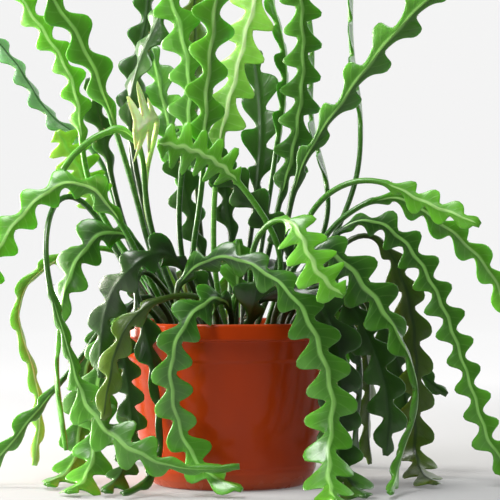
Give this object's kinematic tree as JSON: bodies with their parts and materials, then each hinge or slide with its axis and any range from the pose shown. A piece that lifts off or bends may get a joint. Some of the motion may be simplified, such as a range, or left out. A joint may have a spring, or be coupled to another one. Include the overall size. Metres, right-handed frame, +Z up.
{
  "type": "potted fishbone cactus",
  "caption": "Leafless cactus with flat zigzag-lobed stems, upright and trailing over the rim of a round glossy pot filled with soil.",
  "frame": {"origin": "middle of the pot's underside, on the surface that the pot stands on", "axes": "+Z up, -Y towards the front that the picture shows, +X to the right as seen from the front; the spread of the stems is longest along X"},
  "size_m": [0.409, 0.3027, 0.354],
  "materials": {
    "pot": "glossy terracotta",
    "soil": "loose dark potting soil",
    "stem_dark": "waxy skin, dark older stems",
    "stem_mid": "waxy skin, full green stems",
    "stem_bright": "waxy skin, fresh green stems",
    "stem_pale": "waxy skin, light stems with the sun through them",
    "stem_misty": "waxy skin, grey-green stems",
    "stem_olive": "waxy skin, brownish green old stems",
    "stem_young": "waxy skin, pale yellow-green new growth",
    "stem_shoot": "waxy skin, fresh green shoots with yellow tips"
  },
  "bodies": {
    "root": {"pot": "pot", "soil": "soil", "stem_upright_01": "stem_misty", "stem_upright_02": "stem_bright", "stem_upright_03": "stem_mid", "stem_upright_04": "stem_dark", "stem_upright_05": "stem_dark", "stem_upright_06": "stem_mid", "stem_upright_07": "stem_olive", "stem_upright_08": "stem_bright", "stem_upright_09": "stem_pale", "stem_upright_10": "stem_mid", "stem_upright_11": "stem_mid", "stem_upright_12": "stem_mid", "stem_upright_13": "stem_mid", "stem_upright_14": "stem_mid", "stem_upright_15": "stem_bright", "stem_upright_16": "stem_young", "stem_upright_17": "stem_dark", "stem_upright_18": "stem_dark", "stem_upright_19": "stem_dark", "stem_upright_20": "stem_dark", "stem_left_01": "stem_bright", "stem_left_02": "stem_mid", "stem_left_03": "stem_mid", "stem_left_04": "stem_pale", "stem_left_05": "stem_dark", "stem_left_06": "stem_mid", "stem_left_07": "stem_mid", "stem_left_08": "stem_mid", "stem_left_09": "stem_mid", "stem_left_10": "stem_shoot", "stem_front_01": "stem_mid", "stem_front_02": "stem_dark", "stem_front_03": "stem_bright", "stem_front_04": "stem_mid", "stem_front_05": "stem_olive", "stem_front_06": "stem_dark", "stem_front_07": "stem_dark", "stem_front_08": "stem_dark", "stem_front_09": "stem_dark", "stem_front_10": "stem_mid", "stem_right_01": "stem_bright", "stem_right_02": "stem_bright", "stem_right_03": "stem_mid", "stem_right_04": "stem_olive", "stem_right_05": "stem_mid", "stem_right_06": "stem_dark", "stem_right_07": "stem_dark", "stem_right_08": "stem_dark", "stem_right_09": "stem_olive", "stem_right_10": "stem_dark", "stem_back_01": "stem_dark", "stem_back_02": "stem_mid", "stem_back_03": "stem_bright", "stem_back_04": "stem_dark", "stem_back_05": "stem_mid", "stem_back_06": "stem_mid", "stem_back_07": "stem_dark"}
  },
  "joints": []
}
